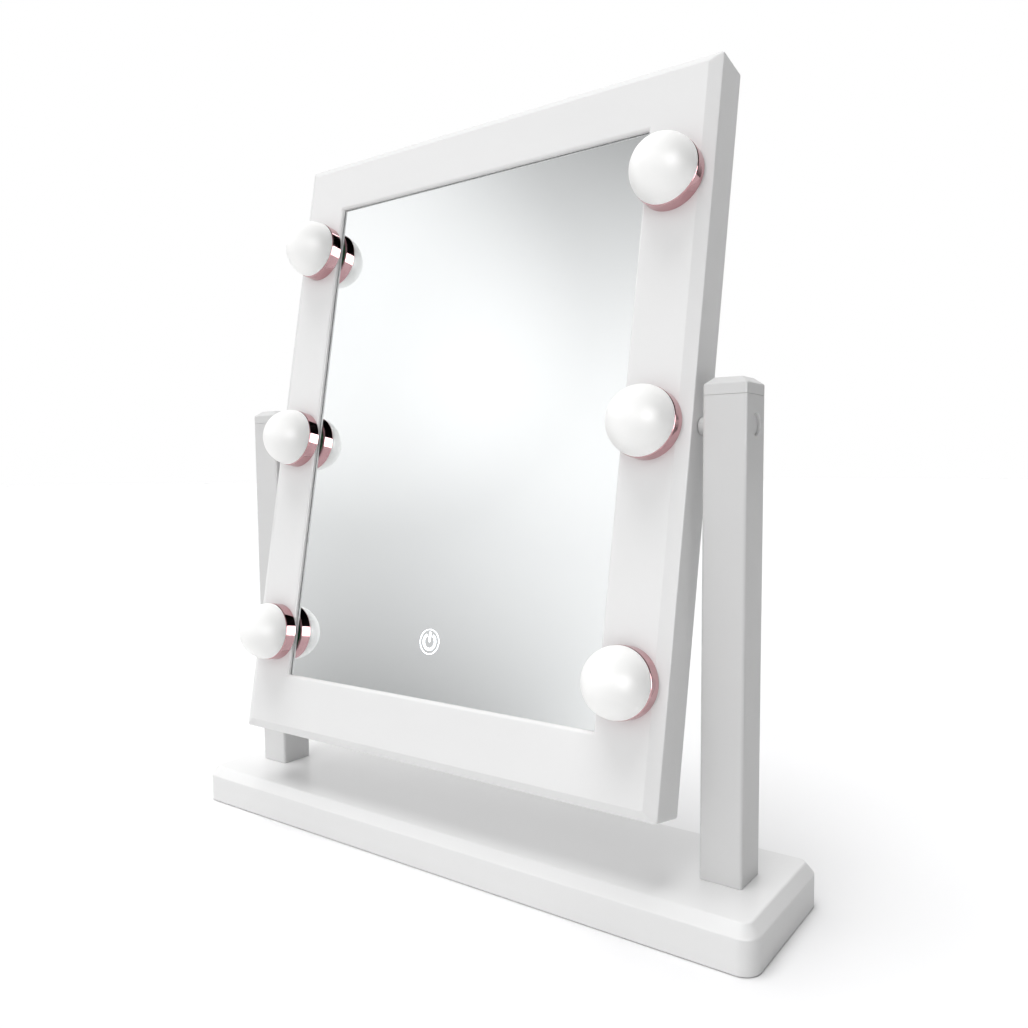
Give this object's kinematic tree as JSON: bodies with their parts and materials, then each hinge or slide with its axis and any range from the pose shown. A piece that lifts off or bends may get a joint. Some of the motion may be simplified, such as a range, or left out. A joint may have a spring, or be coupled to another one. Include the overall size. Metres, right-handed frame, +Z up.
{
  "type": "lighted vanity mirror",
  "caption": "Tabletop vanity mirror on two posts and a weighted base; the bulb-lit frame tilts about a horizontal axis, with a touch light key and battery power.",
  "frame": {"origin": "on the table, under the middle of the overall box of the object at rest", "axes": "+Z up, the mirror faces -Y, +X is to the right of someone looking at the mirror; at rest the mirror leans back 10.6 degrees"},
  "size_m": [0.369, 0.1008, 0.4025],
  "materials": {
    "white_plastic": "white moulded ABS, soft gloss",
    "white_inner": "white moulded plastic, matt",
    "rubber": "grey anti-slip rubber",
    "steel": "zinc-plated steel",
    "mirror": "silvered float glass, polished",
    "foam": "thin self-adhesive foam",
    "circuit": "green circuit board",
    "rose_gold": "rose-gold plated, mirror polished",
    "opal": "opal white diffuser, lit",
    "cell": "printed sleeve without text",
    "black_plastic": "black moulded plastic",
    "cable": "white PVC sleeve"
  },
  "bodies": {
    "base": {"base_cover": "white_plastic", "post_left": "white_plastic", "post_right": "white_plastic", "post_cap_left": "white_plastic", "post_cap_right": "white_plastic", "pivot_spacer_left": "white_plastic", "pivot_spacer_right": "white_plastic", "pivot_plug_left": "white_plastic", "pivot_plug_right": "white_plastic", "base_plate": "white_inner", "foot_front_left": "rubber", "foot_front_right": "rubber", "foot_rear_left": "rubber", "foot_rear_right": "rubber", "base_weight": "steel", "post_bolt_left": "steel", "post_bolt_right": "steel"},
    "mirror_head": {"front_bezel": "white_plastic", "rear_cover": "white_plastic", "battery_box": "white_inner", "pivot_screw_left": "steel", "pivot_screw_right": "steel", "pivot_bracket_left": "steel", "pivot_bracket_right": "steel", "battery_contact_left": "steel", "battery_contact_right": "steel", "cover_screw_top_left": "steel", "cover_screw_top_right": "steel", "cover_screw_bottom_left": "steel", "cover_screw_bottom_right": "steel", "mirror_glass": "mirror", "mirror_backing": "foam", "touch_sensor": "circuit", "control_board": "circuit", "led_board_left_top": "circuit", "led_board_left_middle": "circuit", "led_board_left_bottom": "circuit", "led_board_right_top": "circuit", "led_board_right_middle": "circuit", "led_board_right_bottom": "circuit", "bulb_ring_left_top": "rose_gold", "bulb_ring_left_middle": "rose_gold", "bulb_ring_left_bottom": "rose_gold", "bulb_ring_right_top": "rose_gold", "bulb_ring_right_middle": "rose_gold", "bulb_ring_right_bottom": "rose_gold", "bulb_dome_left_top": "opal", "bulb_dome_left_middle": "opal", "bulb_dome_left_bottom": "opal", "bulb_dome_right_top": "opal", "bulb_dome_right_middle": "opal", "bulb_dome_right_bottom": "opal", "battery_cell_upper_left": "cell", "battery_cell_upper_right": "cell", "battery_cell_lower_left": "cell", "battery_cell_lower_right": "cell", "power_socket": "black_plastic", "led_harness": "cable"},
    "battery_door": {"battery_door": "white_plastic"}
  },
  "joints": [
    {"name": "mirror_tilt", "type": "hinge", "parent": "base", "child": "mirror_head", "pos_m": [0, 0.00685, 0.2292], "axis": [1, 0, 0], "continuous": true},
    {"name": "battery_door_hinge", "type": "hinge", "parent": "mirror_head", "child": "battery_door", "pos_m": [0, 0.00204, 0.14047], "axis": [-1, 0, 0], "range_deg": [0, 105]}
  ]
}
